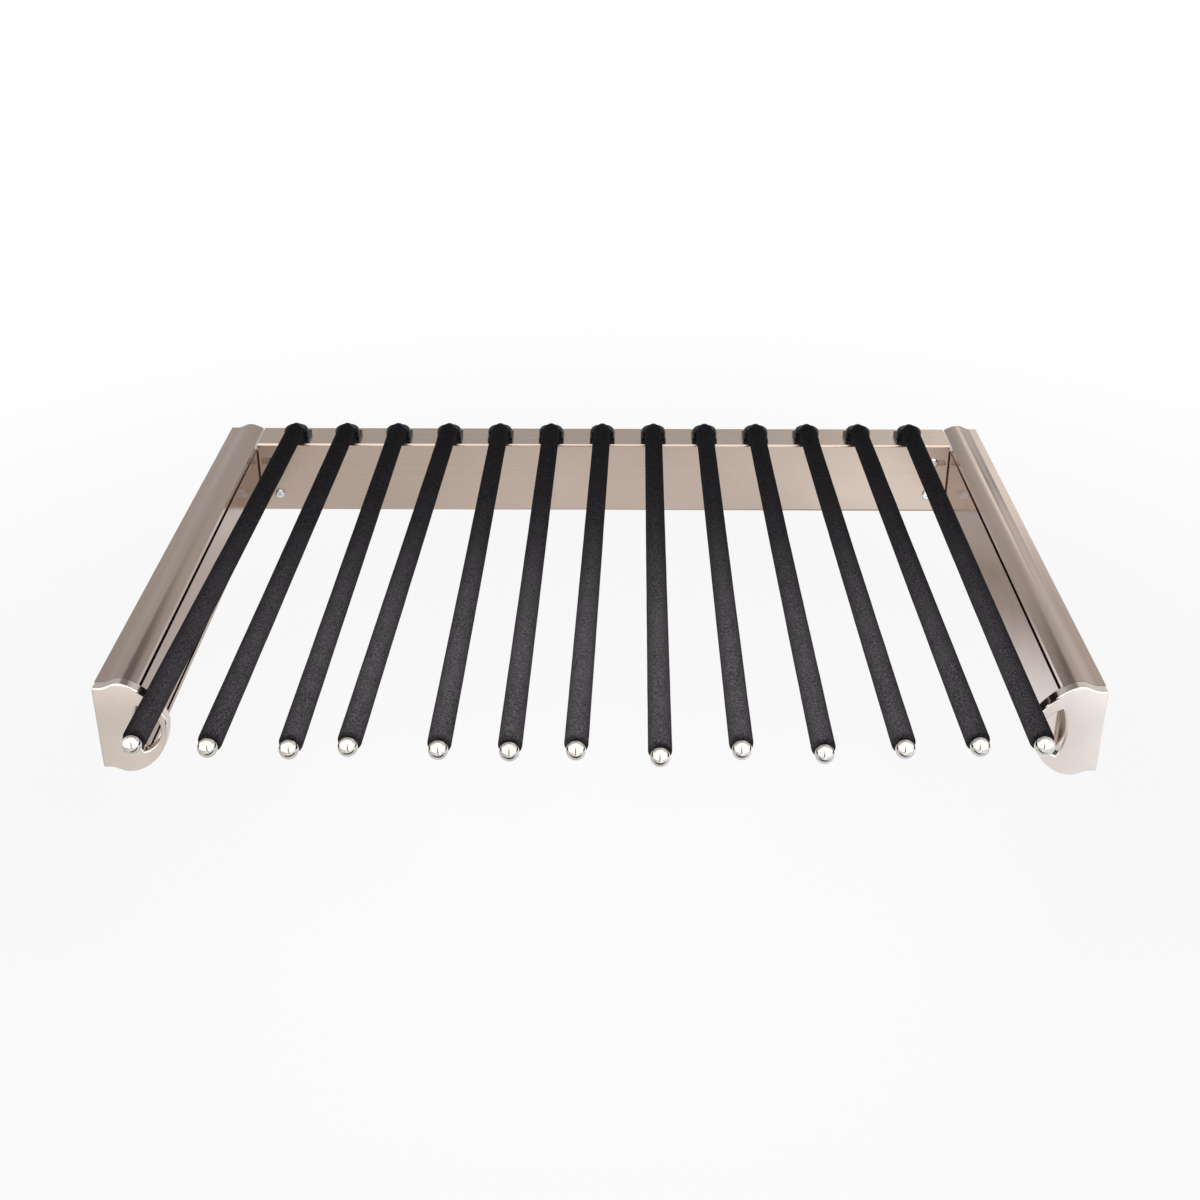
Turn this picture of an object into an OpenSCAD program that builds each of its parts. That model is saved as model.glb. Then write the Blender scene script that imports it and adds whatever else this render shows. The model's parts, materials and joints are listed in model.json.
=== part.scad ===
// Pull-out trouser rack. Two extruded housings are screwed to the sides of a wardrobe section. Each
// hides a telescoping ball-bearing slide, and the slides carry a rail with foam-covered arms.
// Millimetres. X runs across the section, Y from front to back and Z up. The model's origin is the
// bottom centre of its bounding box. The modules place their pieces from the front faces of the end
// caps (Y), the lower outer edge of the housings (Z) and the section's side (u, growing inwards).

/* [Section] */
// Clear width of the wardrobe section, over both housings
section_w = 756; // [560:1:1000]

/* [Housings] */
// Length of each housing, front to back
housing_len = 508; // [440:1:620]
// Height of a housing at its outer edge
housing_h = 70; // [67:0.5:80]
// Depth of a housing from the section's side to its open mouth
housing_depth = 32; // [30:0.5:40]
// Wall of the extrusion
housing_wall = 1.8; // [1.2:0.1:2.4]
// Rise of the wave's crest over the outer edge
wave_rise = 3.8; // [2:0.1:6]
// Flat margin between the outer edge and the wave
wave_margin = 6; // [3:0.5:8]
// Distance of the wave's crest from the section's side
wave_crest = 19; // [15:0.5:22]
// Drop of the wave's inner end under the outer edge
wave_drop = 0.8; // [0:0.1:2]
// Distance of each lip's free edge from the outer edge's level
lip_edge = 4.7; // [3.5:0.1:6]
// Height of the seat that the slide is riveted to
seat_h = 34; // [30:1:38]
// Diameter of the wood screws' holes
mount_hole_d = 5.2; // [4:0.1:6]
// Distance of the front mounting hole from the housing's front end
mount_front = 37; // [30:1:60]
// Pitch of the mounting row
mount_pitch = 32; // [30:1:34]

/* [Slides] */
// Height of the outer member over its ball races
slide_h = 46; // [44:0.5:54]
// Thickness of the members' metal
metal_t = 1.2; // [1:0.1:1.4]
// Diameter of the balls between the outer and middle members
big_ball_d = 5; // [4.4:0.1:5.4]
// Diameter of the balls between the middle and inner members
small_ball_d = 4; // [3.6:0.1:4.4]
// Radial gap between a ball and its races
race_gap = 0.1; // [0.05:0.01:0.15]
// Gap between pieces that pass each other
run_gap = 0.3; // [0.25:0.05:0.4]
// Thickness of a ball cage
cage_t = 0.6; // [0.5:0.05:0.8]
// Rim of a cage beyond its ball holes
cage_rim = 1; // [0.6:0.1:1.6]
// Distance between neighbouring balls of a row
ball_pitch = 32; // [20:1:50]
// How much a cage is shorter than half a member
cage_play = 14; // [10:1:40]
// Distance between the end caps' backs and the members
slide_front_gap = 6; // [5:0.5:9]
// Distance of the members from the housing's back end
slide_back_gap = 2; // [1:0.5:6]
// Diameter of the rivets that hold an outer member to its housing
rivet_d = 4; // [3:0.1:4.4]

/* [Side plates] */
// Thickness of a side plate
plate_t = 2; // [1.5:0.1:2.5]
// How far a side plate stands proud of the housing's mouth
plate_proud = 1; // [0.5:0.1:2]
// Gap between a side plate and the upper lip
upper_gap = 2.6; // [1.5:0.1:4]
// Gap between a side plate and the lower lip
lower_gap = 5.3; // [2:0.1:7]
// Inner radius of the plate's folds
fold_r = 1; // [0.6:0.1:2]
// Length of the flange that is folded behind the back rail
tab_len = 38; // [34:0.5:46]
// Diameter of the studs that hold the slide's inner member
stud_d = 5; // [4:0.1:6]

/* [End caps] */
// Thickness of an end cap
cap_t = 9.5; // [8.5:0.5:14]
// Gap between a cap and its housing when the rack is shut
cap_gap = 0.5; // [0.3:0.1:1]
// Reach of the finger pull from the section's side
pull_reach = 53.5; // [51:0.5:60]
// Drop of the finger pull's innermost point under the housing's top
pull_drop = 31; // [28:0.5:34]
// Width of the finger pull's rim at its innermost point
pull_rim = 5.5; // [4:0.1:7]
// Height of the cap's metal over the finger hole
hole_over = 15.2; // [14:0.1:17]
// Height of the cap's metal under the finger hole
hole_under = 14; // [12:0.1:16]
// Radius that the cap's lower edge sweeps in with
pull_sweep = 17; // [14:0.5:19]
// Radius of the cap's rounded edges
cap_round = 1.6; // [1:0.1:2]
// Wall of the cap round the hollow in its back
cap_wall = 2.8; // [2.4:0.1:3.4]

/* [Back rail] */
// Depth of the rail's top flange
rail_depth = 42; // [38:0.5:50]
// Height of the rail's web
rail_h = 72.3; // [70:0.1:76]
// Thickness of the rail's sheet
rail_t = 1.6; // [1.2:0.1:2]
// Outer radius of the rail's bends
rail_bend = 2.5; // [2.2:0.1:3.5]
// Length of the return along the rail's bottom
rail_return = 12; // [8:0.5:16]
// Gap between the rail's end and the housing's lip
rail_end_gap = 1.7; // [1.2:0.1:3]
// Distance of the rail's back edge from the housing's back end
rail_inset = 1; // [0:0.5:6]
// Length of the slot at each end of the rail
slot_len = 26; // [20:0.5:27]
// Width of that slot
slot_w = 6.5; // [5.6:0.1:7.5]
// Distance of the rail's upper screws from the side plates' backs
upper_screw_in = 17.5; // [16.5:0.5:19]
// Height of the rail's upper screws
upper_screw_z = 51.5; // [50:0.5:53]
// Distance of the rail's lower screws from the side plates' backs
lower_screw_in = 21; // [16:0.5:26]
// Height of the rail's lower screws
lower_screw_z = 16.5; // [16:0.5:20]

/* [Arms] */
// Number of arms
arm_count = 13; // [6:1:14]
// Distance of the outermost arms from the side plates
arm_margin = 39.6; // [34:0.1:60]
// How far the row of arms stands off the middle
arm_shift = -0.8; // [-3:0.1:3]
// Height of the arms' axes over the rail
arm_rise = 11.5; // [11:0.1:12.5]
// Reach of the arms in front of the end caps, to the centre of the tip
arm_reach = 97.5; // [40:0.1:140]
// Diameter of the foam sleeve
sleeve_d = 17.2; // [15:0.1:18]
// Diameter of the steel rod
rod_d = 8; // [7:0.1:9]
// Diameter of the domed tip
tip_d = 14; // [12:0.1:15]
// Radius of the sleeve's front edge
sleeve_round = 2.2; // [1:0.1:3]

/* [Arm holders] */
// Width of a holder's foot
foot_w = 24.6; // [23:0.1:28]
// Depth of a holder's foot
foot_depth = 27; // [26:0.5:32]
// Height of a holder's foot
foot_h = 3.5; // [3:0.1:4]
// Diameter of a holder's round turret
turret_d = 24; // [22:0.1:26]
// Height of the turret over the rail
turret_h = 14; // [13.5:0.1:15.5]
// Radius of the turret's top edge
turret_round = 4; // [2:0.1:5]
// Distance of the turret's axis behind the foot's front edge
turret_setback = 8.2; // [8:0.1:10]
// Radial gap between a holder's socket and the foam
sleeve_gap = 0.2; // [0.1:0.05:0.4]

/* [Fasteners] */
// Shank diameter of the rail's screws
rail_screw_d = 5; // [4:0.1:5]
// Head diameter of the rail's screws
rail_head_d = 9.4; // [8:0.1:10]
// Shank diameter of the arm and cap screws
small_screw_d = 4; // [3:0.1:4.4]
// Head diameter of the arm and cap screws
small_head_d = 7.6; // [6.6:0.1:8]
// Radial gap round a screw in the piece that it clamps
screw_gap = 0.25; // [0.2:0.05:0.4]
// Radial gap in a thread or a push fit
fit_gap = 0.08; // [0.05:0.01:0.12]

/* [Hidden] */
function arm_name(kind, i) = str(kind, "_", i < 9 ? "0" : "", i + 1);
$fn = 48;
// Overlap of cutting tools past the faces they cut
cut = 1;

// Colours as the photograph shows them
nickel = [0.74, 0.69, 0.65];
bright_nickel = [0.84, 0.8, 0.76];
zinc = [0.8, 0.81, 0.83];
foam_black = [0.15, 0.14, 0.15];
gloss_black = [0.09, 0.1, 0.12];

// Depths from the section's side
plate_face = housing_depth + plate_proud;
plate_back = plate_face - plate_t;
big_seat = big_ball_d / 2 + race_gap;
small_seat = small_ball_d / 2 + race_gap;
function arc_foot(r) = sqrt(pow(r + metal_t, 2) - pow(r / 2, 2));
bend_land = 0.2;
middle_w = metal_t + 2 * run_gap + cage_t;
big_w = middle_w + arc_foot(big_seat) + bend_land;
outer_cage_w = big_w + big_ball_d / 2 + run_gap + cage_rim;
small_w = outer_cage_w + run_gap + small_seat + metal_t;
inner_cage_w = small_w - small_seat - metal_t - run_gap - cage_t;
slide_w = small_w + small_ball_d / 2 + run_gap + cage_rim + run_gap + metal_t;
seat_u = plate_back - slide_w;

// Heights
plate_low = lip_edge + lower_gap;
plate_top = housing_h - lip_edge - upper_gap;
slide_z = (plate_low + plate_top) / 2;
big_z = slide_h / 2 - big_seat - metal_t;
middle_top = big_z - big_seat / 2;
small_z = middle_top - metal_t - small_seat / 2;
inner_top = small_z - small_seat / 2;
rail_top = housing_h;
pull_z = housing_h - pull_drop;
arm_z = rail_top + arm_rise;

// Depths behind the caps' front faces
housing_front = cap_t + cap_gap;
housing_back = housing_front + housing_len;
slide_front = housing_front + slide_front_gap;
slide_len = housing_len - slide_front_gap - slide_back_gap;
travel = slide_len;
cage_len = slide_len / 2 - cage_play;
cage_front = slide_front + travel / 4 + cage_play / 2;
balls = floor((cage_len - 2 * cage_rim - big_ball_d) / ball_pitch) + 1;
rail_back = housing_back - rail_inset;
web_front = rail_back - rail_depth;
web_back = web_front + rail_t;
holder_front = web_front + rail_bend - 0.2;
arm_screw_y = holder_front + turret_setback;
rod_tail = 4;
sleeve_back_run = 5.5;

// Mounting holes, counted in steps of the row, and the rivets between them
mount_steps = [0, 4, 9, 13];
mount_ys = [for (s = mount_steps) housing_front + mount_front + s * mount_pitch];
rivet_ys = [for (t = [0.05, 0.5, 0.95]) slide_front + t * slide_len];
stud_ys = [for (t = [0.1, 0.5, 0.88]) slide_front + t * slide_len];
stud_tip = 4.6;
nut_t = 4;
nut_across = 8;

// Arms: how each one stands in its holder, in degrees, from the left
arm_yaw = [-1.4, -1.3, -0.8, -1.8, -0.7, -0.9, -1.4, -0.7, -0.2, 0.4, 0.8, 0.8, 0.1];
arm_droop = [-0.2, 0, 0.1, -0.1, 0.1, 0.2, 0.1, 0.6, 0, 0.3, -0.1, -0.3, -0.4];
arm_pitch = (section_w - 2 * (plate_face + arm_margin)) / (arm_count - 1);
function arm_x(i) = arm_shift + (i - (arm_count - 1) / 2) * arm_pitch;
function yaw(i) = arm_yaw[i % len(arm_yaw)];
function droop(i) = arm_droop[i % len(arm_droop)];
tip_run = arm_screw_y + arm_reach;
rod_r = rod_d / 2;
tip_r = tip_d / 2;
socket_r = rod_r + fit_gap;
sleeve_front_run = tip_run - sqrt(tip_r * tip_r - socket_r * socket_r) - 0.3;

// Bounding box, for the origin
front_most = min([for (i = [0:arm_count - 1]) arm_screw_y - tip_run * cos(yaw(i)) * cos(droop(i))]) - tip_r;
y_mid = (front_most + housing_back) / 2;
z_low = -wave_rise;

// Screws
rail_upper = [plate_back + upper_screw_in, upper_screw_z];
rail_lower = [plate_back + lower_screw_in, lower_screw_z];
cap_screw_u = seat_u + 8;
cap_screw_dz = 17;
pan_round = 1.2;

// Peg under each holder that keeps it from turning on its screw
peg_d = 4;
peg_step = 11;

// Wave of the housing's top, as a height over its outer edge
function wave(u) = u <= wave_margin ? 0
    : u <= wave_crest
    ? wave_rise * (1 - cos(180 * (u - wave_margin) / (wave_crest - wave_margin))) / 2
    : wave_rise - (wave_rise + wave_drop) * (1 - cos(90 * (u - wave_crest) / (housing_depth - wave_crest)));
wave_us = [for (i = [0:20]) wave_margin + (housing_depth - wave_margin) * i / 20];

// Points of a cubic curve, without its last one
function curve(a, b, c, d, n = 12) = [for (i = [0:n - 1])
    let (t = i / n, s = 1 - t)
    s * s * s * a + 3 * s * s * t * b + 3 * s * t * t * c + t * t * t * d];

// Frames
module middle() {
    translate([0, -y_mid, -z_low]) children();
}

module left() {
    middle() translate([-section_w / 2, 0, 0]) children();
}

module right() {
    mirror([1, 0, 0]) left() children();
}

module both_sides() {
    left() children();
    right() children();
}

module in_slide() {
    translate([seat_u, 0, slide_z]) children();
}

module along_y(from, length) {
    translate([0, from + length, 0]) rotate([90, 0, 0]) linear_extrude(length) children();
}

module along_x(from, length) {
    translate([from, 0, 0]) rotate([90, 0, 90]) linear_extrude(length) children();
}

module x_rod(r, h) {
    rotate([0, 90, 0]) cylinder(r = r, h = h);
}

module y_rod(r, h) {
    rotate([-90, 0, 0]) cylinder(r = r, h = h);
}

// A quarter of a ring in the quadrant that dx and dy point to
module quarter_ring(inner, outer, dx, dy) {
    intersection() {
        difference() {
            circle(outer);
            circle(inner);
        }
        translate([dx < 0 ? -outer : 0, dy < 0 ? -outer : 0]) square(outer);
    }
}

module rounded_rect(w, d, r) {
    corners = [[w / 2 - r, r, -90], [w / 2 - r, d - r, 0], [r - w / 2, d - r, 90], [r - w / 2, r, 180]];
    polygon([for (c = corners, a = [0:15:90]) [c.x + r * cos(c.z + a), c.y + r * sin(c.z + a)]]);
}

// Pan-head screw along +Z, with the head's seat at the origin
module pan_screw(shank_d, head_d, head_h, length) {
    head_r = head_d / 2;
    arc = [for (a = [0:15:90]) [head_r - pan_round + pan_round * cos(a), pan_round * sin(a) - pan_round]];
    profile = concat([[0, 0], [head_r, 0]], [for (p = arc) [p.x, p.y + head_h]], [[0, head_h]]);
    cylinder(d = shank_d, h = length);
    mirror([0, 0, 1]) rotate_extrude() polygon(profile);
}

// Housings. The upper half's outline runs from the outer edge over the wave and the lip to the web
lip_u = housing_depth - housing_wall;
roof_us = [for (u = wave_us) if (u < lip_u - 0.2) u];
half_outline = concat([[0, 0]],
    [for (u = wave_us) [u, wave(u)]],
    [[housing_depth, -lip_edge], [lip_u, -lip_edge], [lip_u, wave(lip_u) - housing_wall]],
    [for (i = [len(roof_us) - 1:-1:0]) [roof_us[i], wave(roof_us[i]) - housing_wall]],
    [[housing_wall, -housing_wall]]);

module housing_section() {
    seat_low = slide_z - seat_h / 2;
    seat_top = slide_z + seat_h / 2;
    last = len(half_outline) - 1;
    difference() {
        polygon(concat([for (p = half_outline) [p.x, housing_h + p.y]],
            [[housing_wall, seat_top], [seat_u, seat_top], [seat_u, seat_low], [housing_wall, seat_low]],
            [for (i = [last:-1:0]) [half_outline[i].x, -half_outline[i].y]]));
        translate([housing_wall, seat_low + housing_wall])
            square([seat_u - 2 * housing_wall, seat_h - 2 * housing_wall]);
    }
}

module housing() {
    color(nickel) difference() {
        along_y(housing_front, housing_len) housing_section();
        for (y = mount_ys) translate([-cut, y, slide_z]) x_rod(mount_hole_d / 2, seat_u + 2 * cut);
        for (y = mount_ys) translate([seat_u, y, slide_z]) screw_sink();
        for (y = rivet_ys) translate([housing_wall + cut, y, slide_z]) x_rod(rivet_d / 2 + fit_gap, seat_u);
    }
}

// Slides. The members are drawn in the slide's own frame: its back at 0, its middle height at 0
function channel(from, to, half, t) = let (d = to > from ? t : -t) [
    [from, -half], [to, -half], [to, t - half], [from + d, t - half],
    [from + d, half - t], [to, half - t], [to, half], [from, half]];

// Race round a ball of a seat radius, joined to the sheet on one side and hooked on the other
module hook(r) {
    outer_r = r + metal_t;
    mid = r / 2 + metal_t / 2;
    intersection() {
        circle(outer_r);
        polygon([[-outer_r, mid], [0, mid], [0, r / 2], [outer_r, r / 2], [outer_r, outer_r],
            [-outer_r, outer_r]]);
    }
}

// Race that is pressed into a sheet and joined to it on both sides
module trough(r) {
    outer_r = r + metal_t;
    intersection() {
        circle(outer_r);
        translate([-outer_r, r / 2 + metal_t / 2]) square([2 * outer_r, outer_r]);
    }
}

module at_both_heights(w, z) {
    for (s = [-1, 1]) translate([w, 0, s * z]) children();
}

module race_bars(w, z, flip) {
    for (s = [-1, 1]) along_y(slide_front, slide_len)
        translate([w, s * z]) mirror([0, s * flip < 0 ? 1 : 0]) children();
}

module groove(w, z, r) {
    at_both_heights(w, z) translate([0, slide_front - cut, 0]) y_rod(r, slide_len + 2 * cut);
}

module outer_blank() {
    difference() {
        union() {
            along_y(slide_front, slide_len)
                polygon(channel(0, big_w, big_z + big_seat / 2 + metal_t, metal_t));
            race_bars(big_w, big_z, 1) hook(big_seat);
        }
        groove(big_w, big_z, big_seat);
    }
}

module middle_blank() {
    difference() {
        union() {
            along_y(slide_front, slide_len) polygon(channel(middle_w, small_w, middle_top, metal_t));
            race_bars(big_w, big_z, -1) trough(big_seat);
            race_bars(small_w, small_z, 1) hook(small_seat);
        }
        groove(big_w, big_z, big_seat);
        groove(small_w, small_z, small_seat);
    }
}

module inner_blank() {
    difference() {
        union() {
            along_y(slide_front, slide_len) polygon(channel(slide_w, small_w, inner_top, metal_t));
            race_bars(small_w, small_z, -1) mirror([1, 0]) hook(small_seat);
        }
        groove(small_w, small_z, small_seat);
    }
}

function ball_y(i) = cage_front + cage_len / 2 + (i - (balls - 1) / 2) * ball_pitch;

module outer_member() {
    color(zinc) difference() {
        in_slide() outer_blank();
        for (y = mount_ys) translate([seat_u, y, slide_z]) screw_sink();
        for (y = rivet_ys) translate([seat_u, y, slide_z]) rivet_hole();
    }
}

// Countersink that starts at the outer member's inner face and ends in the housing's seat
module screw_sink() {
    depth = metal_t + 0.4;
    translate([metal_t - depth, 0, 0]) rotate([0, 90, 0])
        cylinder(r1 = mount_hole_d / 2, r2 = mount_hole_d / 2 + depth, h = depth);
}

module rivet_hole() {
    translate([-cut, 0, 0]) x_rod(rivet_d / 2 + fit_gap, metal_t + 2 * cut);
    rivet_cone(fit_gap);
}

// Flush head of a rivet, grown by a gap
module rivet_cone(gap) {
    rotate([0, 90, 0])
        cylinder(r1 = rivet_d / 2 + gap, r2 = rivet_d / 2 + gap + metal_t, h = metal_t);
}

module slide_rivet() {
    translate([-housing_wall - 1, 0, 0]) x_rod(rivet_d / 2, housing_wall + 1 + metal_t);
    translate([-housing_wall - 1.3, 0, 0]) x_rod(rivet_d * 0.8, 1.3);
    rivet_cone(0);
}

module slide_rivets() {
    color(zinc) both_sides()
        for (y = rivet_ys) translate([seat_u, y, slide_z]) slide_rivet();
}

module cage(web_w, end_w, ball_w, ball_z, ball_d) {
    color(bright_nickel) difference() {
        in_slide() along_y(cage_front, cage_len)
            polygon(channel(web_w, end_w, ball_z + cage_t / 2, cage_t));
        for (i = [0:balls - 1])
            in_slide() translate([ball_w, ball_y(i), -slide_h / 2])
                cylinder(d = ball_d + 2 * run_gap, h = slide_h);
    }
}

module ball_rows(ball_w, ball_z, ball_d) {
    color(zinc)
        in_slide() at_both_heights(ball_w, ball_z)
            for (i = [0:balls - 1]) translate([0, ball_y(i), 0]) sphere(d = ball_d, $fn = 24);
}

module outer_cage() {
    cage(metal_t + run_gap, outer_cage_w, big_w, big_z, big_ball_d);
}

module inner_cage() {
    cage(inner_cage_w, small_w + small_ball_d / 2 + run_gap + cage_rim, small_w, small_z, small_ball_d);
}

module middle_member() {
    color(zinc) difference() {
        in_slide() middle_blank();
        for (y = [mount_ys[0], mount_ys[1]])
            in_slide() translate([middle_w - cut, y + travel / 2, 0]) x_rod(mount_hole_d, metal_t + 2 * cut);
    }
}

module inner_member() {
    color(zinc) difference() {
        in_slide() inner_blank();
        for (y = stud_ys)
            translate([plate_back - metal_t - cut, y, slide_z])
                x_rod(stud_d / 2 + screw_gap, metal_t + 2 * cut);
    }
}

module slide_nuts() {
    color(zinc) both_sides() for (y = stud_ys)
        translate([plate_back - metal_t - nut_t, y, slide_z]) difference() {
            rotate([0, 90, 0]) cylinder(d = nut_across / cos(30), h = nut_t, $fn = 6);
            translate([-cut, 0, 0]) x_rod(stud_d / 2 + fit_gap, nut_t + 2 * cut);
        }
}

// Side plates, drawn in plan
module plate_plan() {
    outer_r = fold_r + plate_t;
    front_y = cap_t + outer_r;
    back_y = web_back + plate_t - outer_r;
    translate([plate_back, front_y]) square([plate_t, back_y - front_y]);
    translate([plate_face - outer_r, front_y]) quarter_ring(fold_r, outer_r, 1, -1);
    translate([seat_u + 1, cap_t]) square([plate_face - outer_r - seat_u - 1, plate_t]);
    translate([plate_back + outer_r, back_y]) quarter_ring(fold_r, outer_r, -1, 1);
    translate([plate_back + outer_r, web_back]) square([tab_len - outer_r, plate_t]);
}

module side_plate() {
    collar = 2.2;
    screw_spots = [rail_upper, rail_lower];
    color(nickel) difference() {
        union() {
            translate([0, 0, plate_low]) linear_extrude(plate_top - plate_low) plate_plan();
            for (y = stud_ys)
                translate([plate_back - metal_t - stud_tip, y, slide_z])
                    x_rod(stud_d / 2, metal_t + stud_tip + plate_t / 2);
            for (p = screw_spots)
                translate([p.x, web_back + plate_t / 2, p.y])
                    y_rod(rail_screw_d / 2 + 1.5, plate_t / 2 + collar);
        }
        for (p = screw_spots)
            translate([p.x, web_back - cut, p.y])
                y_rod(rail_screw_d / 2 + fit_gap, plate_t + collar + 2 * cut);
        for (dz = [-cap_screw_dz, cap_screw_dz])
            translate([cap_screw_u, cap_t - cut, slide_z + dz])
                y_rod(small_screw_d / 2 + screw_gap, plate_t + 2 * cut);
    }
}

// End caps
module cap_outline() {
    blend_u = wave_crest + 5;
    top_from = [blend_u, housing_h + wave(blend_u)];
    low_to = [wave_crest + 1, -wave_rise];
    tip = [pull_reach, pull_z];
    top_rise = top_from.y - pull_z;
    low_rise = pull_z - low_to.y;
    edge_us = [for (u = wave_us) if (u < blend_u - 0.5) u];
    low_us = [for (u = wave_us) if (u < low_to.x - 0.5) u];
    polygon(concat([[0, 0], [0, housing_h]],
        [for (u = edge_us) [u, housing_h + wave(u)]],
        curve(top_from, top_from + [9, -2.5], tip + [0, top_rise * 0.44], tip),
        curve(tip, tip - [0, low_rise * 0.52], low_to + [pull_sweep, 0], low_to),
        [for (i = [len(low_us) - 1:-1:0]) [low_us[i], -wave(low_us[i])]]));
}

module finger_hole() {
    top = [plate_back + 0.5, housing_h - hole_over];
    low = [plate_back + 1.5, hole_under];
    side = [pull_reach - pull_rim, pull_z - 3.5];
    whole = top.y - low.y;
    rise = top.y - side.y;
    fall = side.y - low.y;
    polygon(concat(
        curve(top, [top.x - 4.7, top.y - 0.33 * whole], [low.x - 5.7, low.y + 0.32 * whole], low, 10),
        curve(low, [low.x + 6, low.y + 1], [side.x, side.y - 0.58 * fall], side, 8),
        curve(side, [side.x, side.y + 0.39 * rise], [top.x + 7.5, top.y - 1.8], top, 8)));
}

// Hollow in the cap's back, beside the finger pull
module cap_hollow() {
    us = [for (u = wave_us) if (u < cap_screw_u + 3) u];
    polygon(concat([[cap_wall, cap_wall], [cap_wall, housing_h - cap_wall]],
        [for (u = us) [u, housing_h + wave(u) - cap_wall]],
        [for (i = [len(us) - 1:-1:0]) [us[i], cap_wall - wave(us[i])]]));
}

module end_cap() {
    color(bright_nickel) difference() {
        minkowski() {
            along_y(cap_round, cap_t) offset(delta = -cap_round) difference() {
                cap_outline();
                finger_hole();
            }
            sphere(cap_round, $fn = 16);
        }
        translate([-cut, cap_t, -housing_h]) cube([2 * pull_reach, 2 * cap_t, 3 * housing_h]);
        difference() {
            along_y(cap_wall, cap_t) cap_hollow();
            for (dz = [-cap_screw_dz, cap_screw_dz])
                translate([cap_screw_u, 0, slide_z + dz]) y_rod(small_screw_d, 2 * cap_t);
            translate([0, 0, slide_z - cap_wall / 2]) cube([pull_reach, cap_t, cap_wall]);
        }
        for (dz = [-cap_screw_dz, cap_screw_dz])
            translate([cap_screw_u, cap_wall, slide_z + dz]) y_rod(small_screw_d / 2 + fit_gap, cap_t);
    }
}

module cap_screws() {
    color(zinc) both_sides() for (dz = [-cap_screw_dz, cap_screw_dz])
        translate([cap_screw_u, cap_t + plate_t, slide_z + dz]) rotate([90, 0, 0])
            pan_screw(small_screw_d, small_head_d, 2.4, plate_t + cap_t - cap_wall - 0.5);
}

// Back rail, drawn from the side
module rail_section() {
    low = rail_top - rail_h;
    inner = rail_bend - rail_t;
    corner_y = web_front + rail_bend;
    translate([corner_y, rail_top - rail_t]) square([rail_back - corner_y, rail_t]);
    translate([corner_y, rail_top - rail_bend]) quarter_ring(inner, rail_bend, -1, 1);
    translate([web_front, low + rail_bend]) square([rail_t, rail_h - 2 * rail_bend]);
    translate([corner_y, low + rail_bend]) quarter_ring(inner, rail_bend, -1, -1);
    translate([corner_y, low]) square([rail_return - rail_bend, rail_t]);
}

module slot(length, width, depth) {
    reach = (length - width) / 2;
    for (x = [-reach, reach]) translate([x, 0, 0]) y_rod(width / 2, depth);
    translate([-reach, 0, -width / 2]) cube([2 * reach, depth, width]);
}

module rail_end_cuts() {
    web_end = plate_face + fold_r + 0.2;
    translate([0, web_front - cut, -housing_h])
        cube([web_end, rail_depth + 2 * cut, housing_h + plate_top + 1.5]);
    translate([rail_upper.x, web_front - cut, rail_upper.y]) slot(slot_len, slot_w, rail_t + 2 * cut);
    translate([rail_lower.x, web_front - cut, rail_lower.y])
        y_rod(rail_screw_d / 2 + screw_gap, rail_t + 2 * cut);
}

module back_rail() {
    half = section_w / 2 - housing_depth - rail_end_gap;
    color(nickel) difference() {
        middle() along_x(-half, 2 * half) rail_section();
        both_sides() rail_end_cuts();
        middle() for (i = [0:arm_count - 1]) {
            translate([arm_x(i), arm_screw_y, rail_top - rail_t - cut])
                cylinder(d = small_screw_d + 2 * screw_gap, h = rail_t + 2 * cut);
            translate([arm_x(i), arm_screw_y + peg_step, rail_top - rail_t - cut])
                cylinder(d = peg_d + 2 * fit_gap, h = rail_t + 2 * cut);
        }
    }
}

module rail_screws() {
    color(zinc) both_sides() for (p = [rail_upper, rail_lower])
        translate([p.x, web_front, p.y]) rotate([-90, 0, 0])
            pan_screw(rail_screw_d, rail_head_d, 3.2, rail_t + plate_t + 5);
}

// Arms. An arm's frame has its origin on its screw's axis, with -Y along the rod
module at_arm(i) {
    translate([arm_x(i), arm_screw_y, arm_z]) rotate([droop(i), 0, yaw(i)]) children();
}

module arm_screw_bore(i, r, top) {
    translate([arm_x(i), arm_screw_y, rail_top - 2 * rail_t]) cylinder(r = r, h = top + 2 * rail_t);
}

screw_top = arm_rise + rod_r / 2;

module arm_rods() {
    color(zinc) middle() for (i = [0:arm_count - 1]) difference() {
        at_arm(i) translate([0, rod_tail, 0]) rotate([90, 0, 0]) cylinder(r = rod_r, h = rod_tail + tip_run);
        arm_screw_bore(i, small_screw_d / 2 + fit_gap, screw_top + 0.3);
    }
}

module sleeve(i) {
    outer_r = sleeve_d / 2;
    length = sleeve_front_run - sleeve_back_run;
    corner = [for (a = [0:15:90]) sleeve_round * [cos(a) - 1, sin(a) - 1]];
    profile = concat([[socket_r, 0], [outer_r, 0]],
        [for (p = corner) [outer_r + p.x, length + p.y]], [[socket_r, length]]);
    color(foam_black) middle() at_arm(i) translate([0, -sleeve_back_run, 0]) rotate([90, 0, 0])
        rotate_extrude() polygon(profile);
}

module rod_tips() {
    color(bright_nickel) middle() for (i = [0:arm_count - 1])
        at_arm(i) translate([0, -tip_run, 0]) rotate([90, 0, 0]) difference() {
            sphere(tip_r);
            translate([0, 0, -tip_d]) cylinder(r = socket_r, h = tip_d + fit_gap);
        }
}

module arm_screws() {
    color(zinc) middle() for (i = [0:arm_count - 1])
        translate([arm_x(i), arm_screw_y, rail_top - rail_t])
            pan_screw(small_screw_d, small_head_d, 2.4, rail_t + screw_top);
}

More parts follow.
